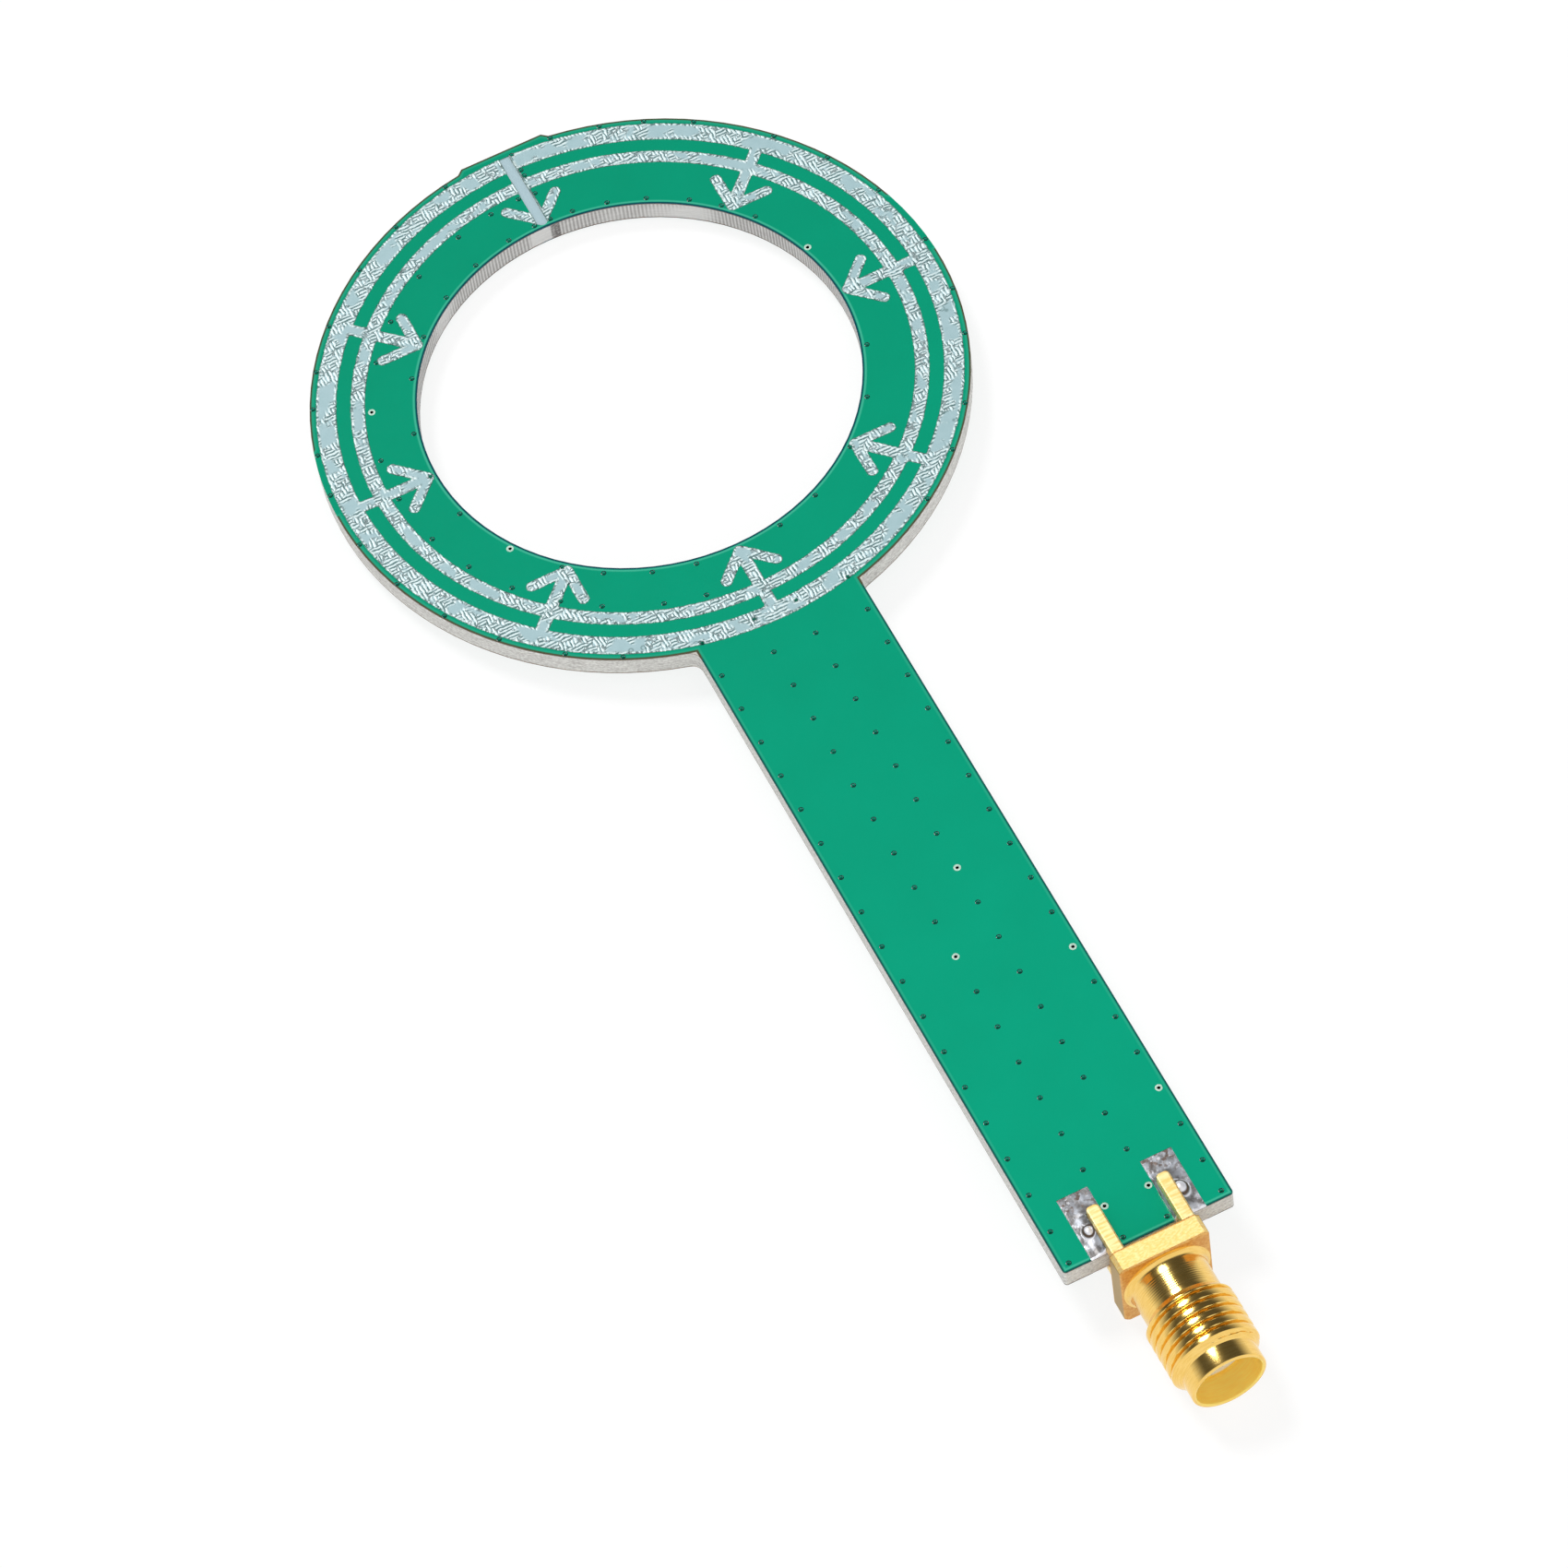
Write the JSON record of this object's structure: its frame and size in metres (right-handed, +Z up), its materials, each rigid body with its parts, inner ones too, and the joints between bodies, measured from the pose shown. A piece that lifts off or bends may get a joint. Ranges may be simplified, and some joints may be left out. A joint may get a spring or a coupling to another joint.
{
  "type": "near field probe",
  "caption": "Magnetic near field probe: a shielded ring loop on a circuit board with a flat handle and a gold coaxial edge socket for a measuring lead.",
  "frame": {"origin": "centre of the loop's opening on the board's middle plane", "axes": "+Y along the handle, away from the socket; +Z up through the loop's opening, out of the face that carries the bands and arrows"},
  "size_m": [0.045, 0.1087, 0.0063],
  "materials": {
    "laminate": "pale woven glass and resin laminate, matt cut edges",
    "copper": "copper foil and plating, hidden under mask and tin",
    "solder_mask": "glossy green solder mask",
    "tin": "hot-air-levelled tin, bright with a crackled grain",
    "gold_plate": "gold-plated brass, turned",
    "insulator": "white fluoropolymer",
    "solder": "shiny grey solder"
  },
  "bodies": {
    "root": {"laminate": "laminate", "top_copper": "copper", "bottom_copper": "copper", "via_barrels": "copper", "top_mask": "solder_mask", "bottom_mask": "solder_mask", "tinned_loop": "tin", "tinned_via_lands": "tin", "tinned_pad_top_left": "tin", "tinned_pad_top_right": "tin", "tinned_pad_bottom_left": "tin", "tinned_pad_bottom_right": "tin", "tinned_signal_pad": "tin", "connector_shell": "gold_plate", "connector_insulator": "insulator", "centre_contact": "gold_plate", "solder_top_left": "solder", "solder_top_right": "solder", "solder_bottom_left": "solder", "solder_bottom_right": "solder", "solder_signal": "solder"}
  },
  "joints": []
}
